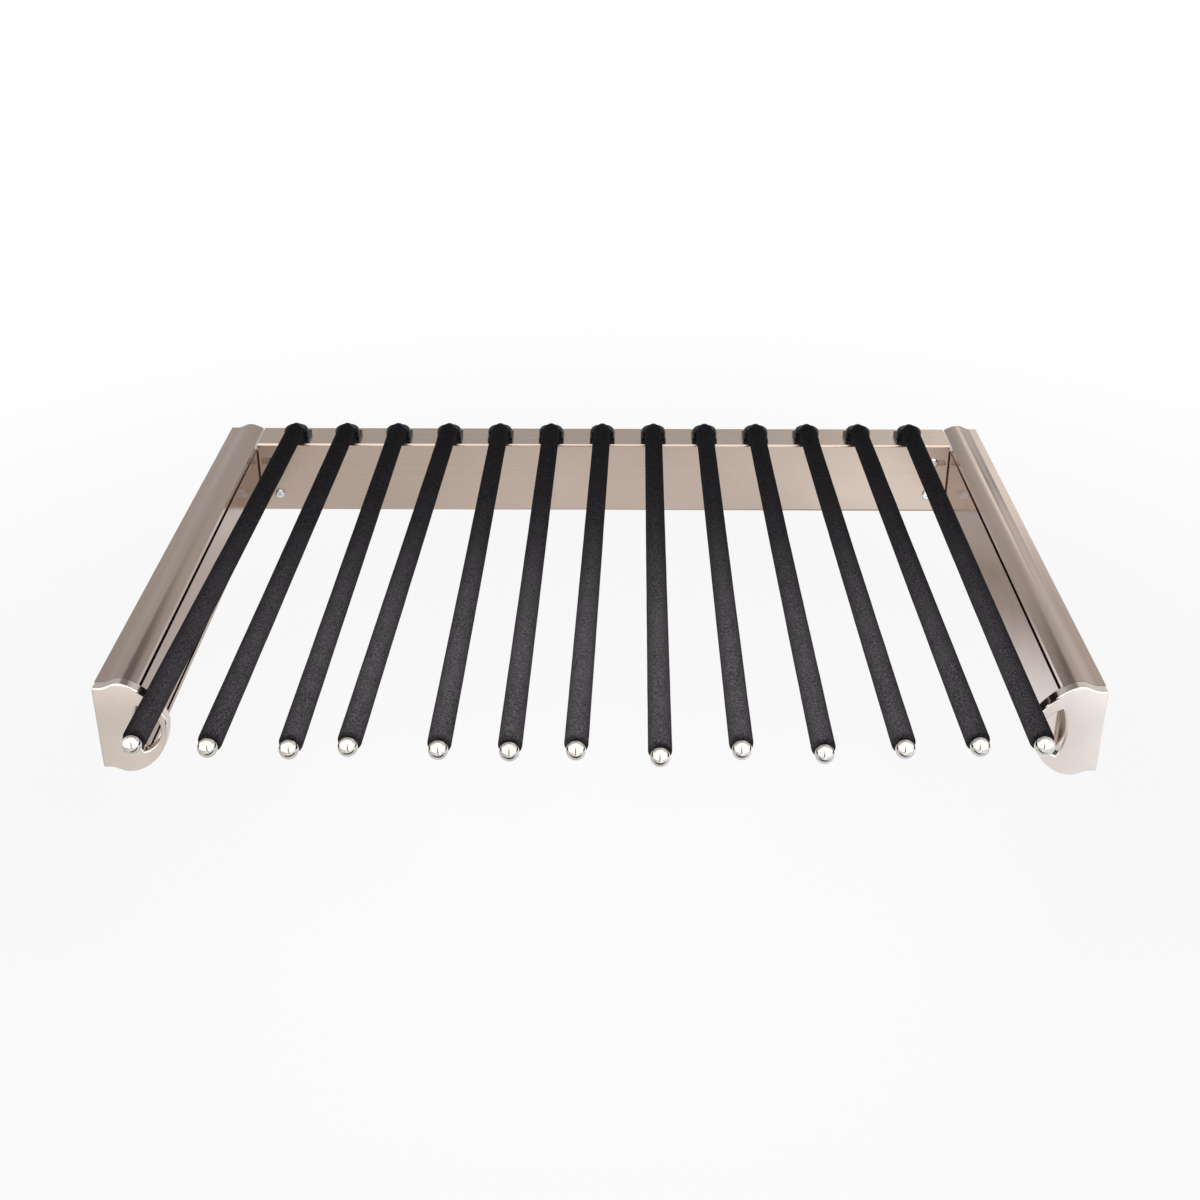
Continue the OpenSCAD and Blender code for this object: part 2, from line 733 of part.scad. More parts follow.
// Holders: a square foot on the rail, a round turret with a saddle for the foam, and a barrel that
// takes the rod's end
module turret() {
    r = turret_d / 2;
    edge = [for (a = [0:15:90])
        [r - turret_round + turret_round * cos(a), turret_h - turret_round + turret_round * sin(a)]];
    rotate_extrude() polygon(concat([[0, 0], [r, 0]], edge, [[0, turret_h]]));
}

module barrel() {
    r = rod_r + 1.4;
    length = sleeve_back_run + rod_tail + 1.5;
    chamfer = 1.5;
    translate([0, -sleeve_back_run, 0]) rotate([-90, 0, 0]) rotate_extrude()
        polygon([[0, 0], [r, 0], [r, length - chamfer], [r - chamfer, length], [0, length]]);
}

module holder(i) {
    base = [arm_x(i), arm_screw_y, rail_top];
    color(gloss_black) middle() difference() {
        union() {
            translate([base.x, holder_front, rail_top])
                linear_extrude(foot_h) rounded_rect(foot_w, foot_depth, 2);
            translate(base) cylinder(r = turret_d / 2 + 0.2, h = foot_h);
            translate(base) turret();
            translate(base + [0, peg_step, -rail_t]) cylinder(d = peg_d, h = rail_t + foot_h / 2);
            at_arm(i) barrel();
        }
        at_arm(i) translate([0, sleeve_gap - sleeve_back_run, 0]) rotate([90, 0, 0])
            cylinder(r = sleeve_d / 2 + sleeve_gap, h = foot_w);
        at_arm(i) translate([0, rod_tail + sleeve_gap, 0]) rotate([90, 0, 0])
            cylinder(r = socket_r, h = foot_w);
        arm_screw_bore(i, small_screw_d / 2 + screw_gap, arm_rise);
    }
}

left() housing();  // left_housing
right() housing();  // right_housing
left() outer_member();  // left_outer_member
right() outer_member();  // right_outer_member
slide_rivets();
left() outer_cage();  // left_outer_cage
right() outer_cage();  // right_outer_cage
left() ball_rows(big_w, big_z, big_ball_d);  // left_outer_balls
right() ball_rows(big_w, big_z, big_ball_d);  // right_outer_balls
left() middle_member();  // left_middle_member
right() middle_member();  // right_middle_member
left() inner_cage();  // left_inner_cage
right() inner_cage();  // right_inner_cage
left() ball_rows(small_w, small_z, small_ball_d);  // left_inner_balls
right() ball_rows(small_w, small_z, small_ball_d);  // right_inner_balls
left() inner_member();  // left_inner_member
right() inner_member();  // right_inner_member
slide_nuts();
left() side_plate();  // left_side_plate
right() side_plate();  // right_side_plate
left() end_cap();  // left_end_cap
right() end_cap();  // right_end_cap
cap_screws();
back_rail();
rail_screws();
arm_rods();
rod_tips();
arm_screws();
for (i = [0:arm_count - 1]) holder(i);
for (i = [0:arm_count - 1]) sleeve(i);
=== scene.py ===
import json
import math
from typing import NamedTuple

import bmesh
import bpy
from bpy.props import FloatProperty, FloatVectorProperty, IntProperty, PointerProperty
from mathutils import Euler, Matrix, Vector, noise

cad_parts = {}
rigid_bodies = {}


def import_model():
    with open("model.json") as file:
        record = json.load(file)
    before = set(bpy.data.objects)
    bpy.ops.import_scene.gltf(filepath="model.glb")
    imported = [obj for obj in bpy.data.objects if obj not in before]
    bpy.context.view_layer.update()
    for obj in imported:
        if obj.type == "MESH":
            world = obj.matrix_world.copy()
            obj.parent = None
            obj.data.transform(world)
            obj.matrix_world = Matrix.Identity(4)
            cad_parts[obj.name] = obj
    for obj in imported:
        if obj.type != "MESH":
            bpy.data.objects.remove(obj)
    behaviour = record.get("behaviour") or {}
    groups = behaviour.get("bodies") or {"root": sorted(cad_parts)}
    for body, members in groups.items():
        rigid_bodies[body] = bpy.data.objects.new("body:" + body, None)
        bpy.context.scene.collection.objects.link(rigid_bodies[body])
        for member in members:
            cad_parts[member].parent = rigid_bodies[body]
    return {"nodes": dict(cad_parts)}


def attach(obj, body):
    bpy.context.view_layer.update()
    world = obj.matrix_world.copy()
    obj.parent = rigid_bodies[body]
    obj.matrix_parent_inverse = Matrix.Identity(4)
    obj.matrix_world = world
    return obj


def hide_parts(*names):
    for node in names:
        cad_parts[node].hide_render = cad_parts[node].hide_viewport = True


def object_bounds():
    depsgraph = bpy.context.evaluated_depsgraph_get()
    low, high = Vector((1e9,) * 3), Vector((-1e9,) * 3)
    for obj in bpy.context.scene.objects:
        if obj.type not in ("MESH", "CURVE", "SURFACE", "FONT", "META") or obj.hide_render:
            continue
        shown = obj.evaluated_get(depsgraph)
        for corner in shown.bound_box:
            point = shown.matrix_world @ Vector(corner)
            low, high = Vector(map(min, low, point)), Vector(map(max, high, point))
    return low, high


bl_info = {
    "name": "Pull-out Trouser Rack",
    "version": (1, 0, 0),
    "blender": (4, 5, 0),
    "location": "View3D > Sidebar > Trouser Rack",
    "description": "Finishes the pull-out trouser rack round its packed frame",
    "category": "Object",
}

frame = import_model()
CAD_LOW, CAD_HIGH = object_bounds()

SIDES = ("left", "right")
ARMS = range(1, 14)

# Points of a CAD node that are closer than this are one point
WELD = 1e-6
# Faces of a CAD node that turn less than this against each other are one flat face
FLATNESS = math.radians(0.4)
# Attribute that marks the faces of a softened edge
EDGE_LAYER = "soft_edge"

# Turn about Z that lays the brush lines along the rack's depth, and along its width
LENGTHWISE = math.pi / 2
CROSSWISE = 0.0


# Settings, shown in the panel

def colour(name, description, default):
    return FloatVectorProperty(name=name, description=description, default=default, size=3,
                               subtype="COLOR", min=0, max=1)


def length(name, description, default):
    return FloatProperty(name=name, description=description, default=default, min=0,
                         subtype="DISTANCE", unit="LENGTH", precision=5)


def share(name, description, default, low, high):
    return FloatProperty(name=name, description=description, default=default, min=low, max=high,
                         subtype="FACTOR")


class RackFinishes(bpy.types.PropertyGroup):
    cover_nickel: colour("Cover nickel", "Brushed nickel of the two housings",
                         (0.475, 0.375, 0.315))
    rail_nickel: colour("Rail nickel", "Brushed nickel of the folded back rail",
                        (0.55, 0.44, 0.365))
    plate_nickel: colour("Plate nickel", "Bright nickel of the side plates", (0.40, 0.305, 0.25))
    cap_nickel: colour("Cap nickel", "Smooth satin nickel of the end caps", (0.73, 0.64, 0.57))
    ball_nickel: colour("Ball nickel", "Satin nickel of the arms' balls", (0.62, 0.58, 0.535))
    slide_steel: colour("Slide steel", "Zinc-plated steel of the slide members",
                        (0.60, 0.61, 0.63))
    cage_steel: colour("Cage steel", "Rolled strip of the ball cages", (0.66, 0.64, 0.60))
    screw_zinc: colour("Screw zinc", "Bright zinc of screws, nuts and rivets", (0.78, 0.79, 0.81))
    foam: colour("Foam", "Black foam of the arm sleeves", (0.043, 0.039, 0.044))
    moulding: colour("Moulding", "Glossy black of the arm holders", (0.008, 0.010, 0.013))


class RackEdges(bpy.types.PropertyGroup):
    extrusion: length("Extrusion edges", "Softening of the housings' edges", 0.00015)
    sheet: length("Sheet edges", "Softening of the folded sheets' edges", 0.0002)
    moulding: length("Moulding edges", "Softening of the holders' edges", 0.0004)


class RackFoam(bpy.types.PropertyGroup):
    front_round: length("Front rounding", "Rounding of the sleeve's front end", 0.0026)
    back_round: length("Back rounding", "Rounding of the sleeve's back end", 0.0009)
    unevenness: length("Unevenness", "How far the foam's skin swells and sinks", 0.00014)
    ring_count: IntProperty(name="Rings", description="Rings of points along a sleeve",
                            default=44, min=8)


class RackScrews(bpy.types.PropertyGroup):
    recess_span: share("Recess span", "Width of the cross as a share of the head", 0.52, 0.2, 0.8)
    recess_wing: share("Recess wing", "Width of a wing as a share of the cross", 0.27, 0.1, 0.5)
    recess_depth: share("Recess depth", "Depth as a share of the head's height", 0.68, 0.1, 0.9)


class RackStudio(bpy.types.PropertyGroup):
    lens: FloatProperty(name="Lens", description="Focal length on a 36 mm sensor, in millimetres",
                        default=49.82, min=10, unit="CAMERA")
    floor_drop: length("Floor drop", "Distance of the floor under the rack", 0.09)
    floor_glow: share("Floor glow", "Share of the near floor that shows plain white", 0.92, 0, 1)
    sky: FloatProperty(name="Sky", description="Strength of the light from all around",
                       default=0.09, min=0)
    key: FloatProperty(name="Key", description="Power of the soft lamp over the arms' fronts",
                       default=1.5, min=0, unit="POWER")


GROUPS = {
    "rack_finishes": RackFinishes,
    "rack_edges": RackEdges,
    "rack_foam": RackFoam,
    "rack_screws": RackScrews,
    "rack_studio": RackStudio,
}


# Fixed sizes of the small forms, in metres

# Radius of the bores in the sleeves and balls, which a rod fills
BORE = 0.0041
# A sleeve: the flare of its bore's mouth, the flare's lip and depth, and how far out of the bore
# the skin starts
MOUTH_FLARE = 0.0012
MOUTH_LIP = 0.0001
MOUTH_DEPTH = 0.0008
SKIN_START = 0.001
# A sleeve's mesh: points round it, and steps of its back and front rounding
SLEEVE_SPOKES = 40
BACK_STEPS = 4
FRONT_STEPS = 6
# How fast the foam's unevenness changes round and along a sleeve, and from arm to arm
UNEVEN_ROUND = 90
UNEVEN_ALONG = 28
UNEVEN_STEP = 7.3

# A ball: the flat ring round its bore, the bevels of the bore's mouth and floor, the floor's place
SEAT_RING = 0.0006
SEAT_BEVEL = 0.0002
FLOOR_BEVEL = 0.0004
BORE_FLOOR = 0.0001
BALL_SPOKES = 48
BALL_STEPS = 34

# A screw: the dome's and the flat's share of the head, the head's rim and its bevel
DOME_SHARE = 0.55
FLAT_SHARE = 0.45
HEAD_RIM = 0.0003
HEAD_BEVEL = 0.0002
DOME_STEPS = 6
SCREW_SPOKES = 32
# A screw's thread: its pitch and depth, the plain neck, the plain end and the point
THREAD_PITCH = 0.0008
THREAD_DEPTH = 0.00028
THREAD_NECK = 0.001
THREAD_END = 0.001
POINT_RUN = 0.0006
# How far the recess narrows to its floor
RECESS_TAPER = 0.62
# Each screw stopped at a turn of its own, in radians
FIRST_TURN = 0.4
TURN_STEP = 1.9


class ScrewSet(NamedTuple):
    """A CAD node of screws, the piece made for it, and the lie and sizes of its screws."""
    node: str
    name: str
    axis: str
    head_low: bool
    head_h: float
    shank_d: float


SCREW_SETS = (
    ScrewSet("rail_screws", "cross_rail_screws", "y", True, 0.0032, 0.005),
    ScrewSet("cap_screws", "cross_cap_screws", "y", False, 0.0024, 0.004),
    ScrewSet("arm_screws", "cross_arm_screws", "z", True, 0.0024, 0.004),
)


# The studio

# The camera, fitted to the photograph's straight edges
EYE = (0.00956, -1.26442, 0.70811)
EYE_TURN = (math.pi / 2 - 0.4857, 0.0005, 0.008)
SENSOR = 36.0
NEAR = 0.02

# The lamp over the arms' fronts
LAMP_PLACE = (0.0, -0.235, 0.24)
LAMP_TARGET = (0.0, -0.235, 0.0)
LAMP_SIZE = (0.55, 0.37)

FLOOR_REACH = 12.0
# Distances from the rack between which the floor's shine fades into plain white
FADE_START = 0.45
FADE_END = 1.2

# Screens lie flat, stand across the rack, or stand along it
FLAT = (0, 0, 0)
UPRIGHT = (math.pi / 2, 0, 0)
SIDEWAYS = (0, math.pi / 2, 0)
# The darkest tone of a surface that metal sees
DARKEST = 0.02
WHITE = (1, 1, 1, 1)
BLACK = (0, 0, 0, 1)
# The floor's paper is between these two
PAPER_WHITES = ((0.93, 0.93, 0.93, 1.0), (0.95, 0.95, 0.95, 1.0))


class Patch(NamedTuple):
    """A soft round patch in a surface's tone: its half sizes, its change and its turn about Y."""
    centre: tuple
    half: tuple
    change: float
    turn: float = 0.0


class Screen(NamedTuple):
    """A screen of the studio. Its tones are those of its left and right edges."""
    name: str
    size: tuple
    place: tuple
    turn: tuple
    tones: tuple
    patches: tuple = ()


SCREENS = (
    Screen("front_screen", (0.7, 1.9), (0.0, -1.75, 0.95), UPRIGHT, (0.06, 0.06)),
    Screen("left_box", (1.3, 2.0), (-0.85, -1.6, 0.95), UPRIGHT, (1.9, 1.9)),
    Screen("right_box", (1.42, 2.0), (0.8, -1.6, 0.95), UPRIGHT, (1.9, 1.9)),
    Screen("left_side_box", (2.0, 1.9), (-1.5, -0.65, 0.95), SIDEWAYS, (1.8, 1.8)),
    Screen("right_side_box", (2.0, 1.9), (1.5, -0.65, 0.95), SIDEWAYS, (1.8, 1.8)),
    # The dark patch goes on from the gap between the left and the right box
    Screen("top_box", (3.0, 2.35), (0.0, -0.43, 1.96), FLAT, (1.8, 1.8), (
        Patch((-0.06, -1.4, 1.96), (0.2, 0.5, 1), -2.2),)),
    # Bright low at the right, darker in the middle and high up, with a dark slanting streak
    Screen("back_wall", (5.0, 2.8), (0.0, 2.0, 1.32), UPRIGHT, (0.5, 0.84), (
        Patch((0.85, 2.0, 0.86), (0.55, 1, 0.28), 0.85),
        Patch((-0.05, 2.0, 0.68), (1.0, 1, 0.36), -0.13),
        Patch((-0.4, 2.0, 1.55), (0.58, 1, 0.45), -0.5),
        Patch((0.12, 2.0, 1.58), (0.5, 1, 0.4), -0.5),
        Patch((1.17, 2.0, 0.48), (0.36, 1, 0.055), -1.5, math.radians(62)))),
)

# Patches of the floor, as metal sees it. Their centres get the floor's height later.
FLOOR_TONES = (
    # Light and shade under the right half
    Patch((0.38, -0.02), (0.26, 0.2, 1), 0.5),
    Patch((0.28, 0.36), (0.3, 0.34, 1), -0.6),
    # A dark strip before the arms' balls, and a bright floor farther out, with a dark gap in it
    Patch((0.0, -0.44), (0.55, 0.1, 1), -1.7),
    Patch((0.0, -0.87), (0.52, 0.48, 1), 1.0),
    Patch((-0.06, -0.95), (0.13, 0.5, 1), -2.3),
    # Light before the two caps
    Patch((-0.45, -0.55), (0.18, 0.2, 1), 0.35),
    Patch((0.45, -0.55), (0.18, 0.2, 1), 0.35),
)
# Where the floor, as metal sees it, is tinted brown under the side plates: a painted brown
# reflection in them
FLOOR_BROWNS = (
    Patch((-0.3, 0.32), (0.28, 0.3, 1), 0.4),
    Patch((0.3, 0.32), (0.28, 0.3, 1), 1.0),
)
COOL_WHITE = (0.95, 1.0, 1.07, 1)
BROWN_WHITE = (1.0, 0.88, 0.8, 1)


# Shader nodes

def add_node(tree, kind, settings=None, sockets=None):
    """A node with its settings, and with values or links on its sockets, by name or number."""
    made = tree.nodes.new(kind)
    for key, value in (settings or {}).items():
        setattr(made, key, value)
    for key, value in (sockets or {}).items():
        socket = made.inputs[key]
        if isinstance(value, bpy.types.NodeSocket):
            tree.links.new(value, socket)
        else:
            socket.default_value = value
    return made


def math_node(tree, operation, first, second=0.0, clamp=False):
    return add_node(tree, "ShaderNodeMath", {"operation": operation, "use_clamp": clamp},
                    {0: first, 1: second}).outputs[0]


def times(tree, first, second, clamp=False):
    return math_node(tree, "MULTIPLY", first, second, clamp)


def plus(tree, first, second, clamp=False):
    return math_node(tree, "ADD", first, second, clamp)


def mix_colour(tree, factor, first, second):
    return add_node(tree, "ShaderNodeMix", {"data_type": "RGBA"},
                    {0: factor, 6: first, 7: second}).outputs[2]


def spread(tree, value, low, high, from_low=0.0, from_high=1.0):
    """Maps a range of values to the range from low to high, and holds it at both ends."""
    return add_node(tree, "ShaderNodeMapRange", None, {
        "Value": value, "From Min": from_low, "From Max": from_high,
        "To Min": low, "To Max": high}).outputs["Result"]


def mask_of(tree, value, low, high):
    """0 up to the low mark, 1 from the high mark on, and a slope between them."""
    return spread(tree, value, 0.0, 1.0, low, high)


def noise_node(tree, where, scale, detail=2.0, roughness=0.5, distortion=0.0):
    return add_node(tree, "ShaderNodeTexNoise", None, {
        "Vector": where, "Scale": scale, "Detail": detail, "Roughness": roughness,
        "Distortion": distortion}).outputs[0]


def distance_node(tree, where):
    return add_node(tree, "ShaderNodeVectorMath", {"operation": "LENGTH"},
                    {0: where}).outputs["Value"]


def along_x(tree, where):
    return add_node(tree, "ShaderNodeSeparateXYZ", None, {0: where}).outputs[0]


def connect(tree, sockets, values):
    for key, value in values.items():
        tree.links.new(value, sockets[key])


def soft_patches(tree, where, tone, patches):
    """Adds soft round patches to a tone."""
    for patch in patches:
        inside = add_node(tree, "ShaderNodeMapping", {"vector_type": "TEXTURE"}, {
            "Vector": where, "Location": patch.centre, "Rotation": (0, patch.turn, 0),
            "Scale": patch.half}).outputs[0]
        fall = add_node(tree, "ShaderNodeMapRange", {"interpolation_type": "SMOOTHSTEP"}, {
            "Value": distance_node(tree, inside), "To Min": patch.change,
            "To Max": 0.0}).outputs["Result"]
        tone = plus(tree, tone, fall)
    return math_node(tree, "MAXIMUM", tone, DARKEST)


# Node groups that the materials share

FLOAT = "NodeSocketFloat"
VECTOR = "NodeSocketVector"


def new_group(name, inputs, outputs):
    """An empty node group. Inputs are (name, kind, default), and each output is a number."""
    tree = bpy.data.node_groups.new(name, "ShaderNodeTree")
    for label, kind, default in inputs:
        socket = tree.interface.new_socket(name=label, in_out="INPUT", socket_type=kind)
        if default is not None:
            socket.default_value = default
    for label in outputs:
        tree.interface.new_socket(name=label, in_out="OUTPUT", socket_type=FLOAT)
    given = tree.nodes.new("NodeGroupInput").outputs
    wanted = tree.nodes.new("NodeGroupOutput").inputs
    return tree, given, wanted


def brushed_lines(name):
    """Brush lines: fine scratches for the relief, and broad bands and flecks for the tone. X of
    the vector is along the brushing, so a Mapping in the material turns the pattern."""
    tree, given, wanted = new_group(
        name,
        [("Vector", VECTOR, None), ("Fine", FLOAT, 2600.0), ("Broad", FLOAT, 150.0),
         ("Along", FLOAT, 9.0)],
        ["Scratches", "Bands", "Flecks"])
    parts = add_node(tree, "ShaderNodeSeparateXYZ", None, {0: given["Vector"]}).outputs

    def streaks(across, along, detail):
        vector = add_node(tree, "ShaderNodeCombineXYZ", None, {
            0: times(tree, parts[0], along),
            1: times(tree, parts[1], across),
            2: times(tree, parts[2], across)}).outputs[0]
        return noise_node(tree, vector, scale=1.0, detail=detail, roughness=0.55)

    bands = streaks(given["Broad"], given["Along"], detail=3.0)
    flecks = streaks(times(tree, given["Fine"], 0.3), times(tree, given["Along"], 6.0), detail=1.0)
    connect(tree, wanted, {
        "Scratches": streaks(given["Fine"], times(tree, given["Along"], 3.0), detail=2.0),
        "Bands": mask_of(tree, bands, low=0.3, high=0.7),
        "Flecks": mask_of(tree, flecks, low=0.58, high=0.8)})
    return tree


def handling(name):
    """Soft marks of handling and plating: a cloudy mask, and small sparse spots."""
    tree, given, wanted = new_group(name, [("Vector", VECTOR, None), ("Size", FLOAT, 14.0)],
                                    ["Clouds", "Spots"])
    clouds = noise_node(tree, given["Vector"], given["Size"], detail=4.0, roughness=0.6,
                        distortion=0.4)
    spots = noise_node(tree, given["Vector"], times(tree, given["Size"], 30.0))
    connect(tree, wanted, {
        "Clouds": mask_of(tree, clouds, low=0.35, high=0.7),
        "Spots": mask_of(tree, spots, low=0.66, high=0.78)})
    return tree


def worn_edges(name):
    """Mask of a piece's softened edges, broken up, where the plating has been rubbed bright."""
    tree, given, wanted = new_group(name, [("Edge", FLOAT, 0.0), ("Vector", VECTOR, None)],
                                    ["Mask"])
    patchy = noise_node(tree, given["Vector"], scale=90.0, detail=3.0)
    kept = spread(tree, patchy, low=0.25, high=1.0, from_low=0.35, from_high=0.65)
    connect(tree, wanted, {"Mask": times(tree, given["Edge"], kept, clamp=True)})
    return tree


def foam_grain(name):
    """Closed-cell foam: the cell relief, the speckle of cut cells, and slow changes of tone."""
    tree, given, wanted = new_group(name, [("Vector", VECTOR, None), ("Cells", FLOAT, 1500.0)],
                                    ["Relief", "Speckle", "Tone"])
    cells = add_node(tree, "ShaderNodeTexVoronoi", None, {
        "Vector": given["Vector"], "Scale": given["Cells"]}).outputs["Distance"]
    rough = noise_node(tree, given["Vector"], times(tree, given["Cells"], 0.45), detail=4.0,
                       roughness=0.65)
    tone = noise_node(tree, given["Vector"], times(tree, given["Cells"], 0.03), detail=3.0)
    connect(tree, wanted, {
        "Relief": plus(tree, times(tree, cells, 0.5), rough),
        "Speckle": mask_of(tree, rough, low=0.42, high=0.72),
        "Tone": mask_of(tree, tone, low=0.35, high=0.65)})
    return tree


SHARED_GROUPS = {
    "Brushed Lines": brushed_lines,
    "Handling": handling,
    "Worn Edges": worn_edges,
    "Foam Grain": foam_grain,
}


def place_group(tree, name, sockets):
    """Places a shared node group, which is built when a material first asks for it."""
    group = bpy.data.node_groups.get(name) or SHARED_GROUPS[name](name)
    return add_node(tree, "ShaderNodeGroup", {"node_tree": group}, sockets).outputs


# Materials

# Tone of the edges that are rubbed bright, on brushed and on satin metal
RUBBED_BRUSHED = (0.86, 0.82, 0.77, 1.0)
RUBBED_SATIN = (0.9, 0.87, 0.83, 1.0)
# The heights of the reliefs are in millimetres
MILLIMETRE = 0.001


def blank_material(name):
    """A material with a Principled shader. Returns it, its tree, the shader's inputs and Object
    coordinates."""
    made = bpy.data.materials.new(name)
    made.use_nodes = True
    tree = made.node_tree
    tree.nodes.clear()
    shader = add_node(tree, "ShaderNodeBsdfPrincipled")
    add_node(tree, "ShaderNodeOutputMaterial", None, {"Surface": shader.outputs[0]})
    where = add_node(tree, "ShaderNodeTexCoord").outputs["Object"]
    return made, tree, shader.inputs, where


def shade(value, factor):
    """A lighter or darker kind of a colour."""
    return tuple(min(1.0, c * factor) for c in value) + (1.0,)


def layer(tree, tone, over, mask, amount):
    """Lays a colour over a tone where a mask is, as strongly as the amount says."""
    return mix_colour(tree, times(tree, mask, amount), tone, over)


def worn_mask(tree, where):
    edge = add_node(tree, "ShaderNodeAttribute", {"attribute_name": EDGE_LAYER}).outputs["Fac"]
    return place_group(tree, "Worn Edges", {"Edge": edge, "Vector": where})["Mask"]


def bump_node(tree, height, strength, distance):
    return add_node(tree, "ShaderNodeBump", None, {
        "Strength": strength, "Distance": distance, "Height": height}).outputs[0]


def relief_normal(tree, where, fine, fine_height, wave, wave_size):
    """Normal of a surface with a fine relief and a slow waviness. Both heights are in
    millimetres."""
    slow = noise_node(tree, where, wave_size, detail=1.0, roughness=0.3)
    height = plus(tree, times(tree, fine, fine_height), times(tree, slow, wave))
    return bump_node(tree, height, strength=1.0, distance=MILLIMETRE)


def brushed_metal(name, tint, turn=LENGTHWISE, fine=2600.0, broad=150.0, along=9.0,
                  contrast=0.12, rough=(0.26, 0.4), relief=0.004, wave=0.05, wave_size=14.0,
                  rubbed=0.35, flecks=0.15):
    """Plated metal with brush lines. turn is the brushing's direction, as a turn about Z."""
    made, tree, shader, where = blank_material(name)
    turned = add_node(tree, "ShaderNodeMapping", {"vector_type": "TEXTURE"}, {
        "Vector": where, "Rotation": (0.0, 0.0, turn)}).outputs[0]
    lines = place_group(tree, "Brushed Lines", {
        "Vector": turned, "Fine": fine, "Broad": broad, "Along": along})
    marks = place_group(tree, "Handling", {"Vector": where, "Size": 11.0})
    worn = worn_mask(tree, where)
    tone = mix_colour(tree, lines["Bands"], shade(tint, 1 - contrast), shade(tint, 1 + contrast))
    tone = layer(tree, tone, shade(tint, 1.3), mask=lines["Flecks"], amount=flecks)
    tone = layer(tree, tone, shade(tint, 0.82), mask=marks["Clouds"], amount=0.12)
    tone = layer(tree, tone, RUBBED_BRUSHED, mask=worn, amount=rubbed)
    dulling = times(tree, marks["Clouds"], 0.05)
    polish = times(tree, worn, 0.08)
    gloss = plus(tree, spread(tree, lines["Bands"], *rough), dulling)
    connect(tree, shader, {
        "Base Color": tone,
        "Roughness": math_node(tree, "SUBTRACT", gloss, polish, clamp=True),
        "Normal": relief_normal(tree, where, lines["Scratches"], relief, wave, wave_size)})
    shader["Metallic"].default_value = 1.0
    return made


def satin_metal(name, tint, rough=(0.2, 0.3), relief=0.0006, grain_size=900.0, wave=0.04,
                wave_size=18.0):
    """Cast or turned metal with a smooth satin plating."""
    made, tree, shader, where = blank_material(name)
    marks = place_group(tree, "Handling", {"Vector": where, "Size": 16.0})
    worn = worn_mask(tree, where)
    satin = noise_node(tree, where, grain_size, detail=3.0)
    tone = mix_colour(tree, marks["Clouds"], shade(tint, 1.03), shade(tint, 0.93))
    tone = layer(tree, tone, shade(tint, 0.75), mask=marks["Spots"], amount=0.05)
    tone = layer(tree, tone, RUBBED_SATIN, mask=worn, amount=0.5)
    gloss = spread(tree, marks["Clouds"], *rough)
    sparkle = spread(tree, satin, low=-0.01, high=0.01, from_low=0.3, from_high=0.7)
    connect(tree, shader, {
        "Base Color": tone,
        "Roughness": plus(tree, gloss, sparkle, clamp=True),
        "Normal": relief_normal(tree, where, satin, relief, wave, wave_size)})
    shader["Metallic"].default_value = 1.0
    return made


def foam_material(name, tint):
    """Black closed-cell foam, dull, with the pale speckle of its cut cells."""
    made, tree, shader, where = blank_material(name)
    cells = place_group(tree, "Foam Grain", {"Vector": where, "Cells": 1300.0})
    marks = place_group(tree, "Handling", {"Vector": where, "Size": 20.0})
    tone = mix_colour(tree, cells["Speckle"], shade(tint, 0.5), shade(tint, 2.2))
    tone = layer(tree, tone, shade(tint, 1.35), mask=cells["Tone"], amount=0.4)
    tone = layer(tree, tone, shade(tint, 4.5), mask=marks["Spots"], amount=0.25)
    connect(tree, shader, {
        "Base Color": tone,
        "Roughness": spread(tree, cells["Speckle"], low=0.86, high=1.0),
        "Normal": bump_node(tree, cells["Relief"], strength=0.55, distance=0.22 * MILLIMETRE)})
    shader["Specular IOR Level"].default_value = 0.02
    return made


def moulded_material(name, tint):
    """Glossy black moulding with a faint skin."""
    made, tree, shader, where = blank_material(name)
    marks = place_group(tree, "Handling", {"Vector": where, "Size": 40.0})
    skin = noise_node(tree, where, scale=260.0)
    gloss = spread(tree, marks["Clouds"], low=0.2, high=0.3)
    dulling = times(tree, marks["Spots"], 0.15)
    connect(tree, shader, {
        "Base Color": mix_colour(tree, marks["Clouds"], shade(tint, 1.0), shade(tint, 1.7)),
        "Roughness": plus(tree, gloss, dulling, clamp=True),
        "Normal": bump_node(tree, skin, strength=0.12, distance=0.1 * MILLIMETRE)})
    shader["Specular IOR Level"].default_value = 0.14
    return made


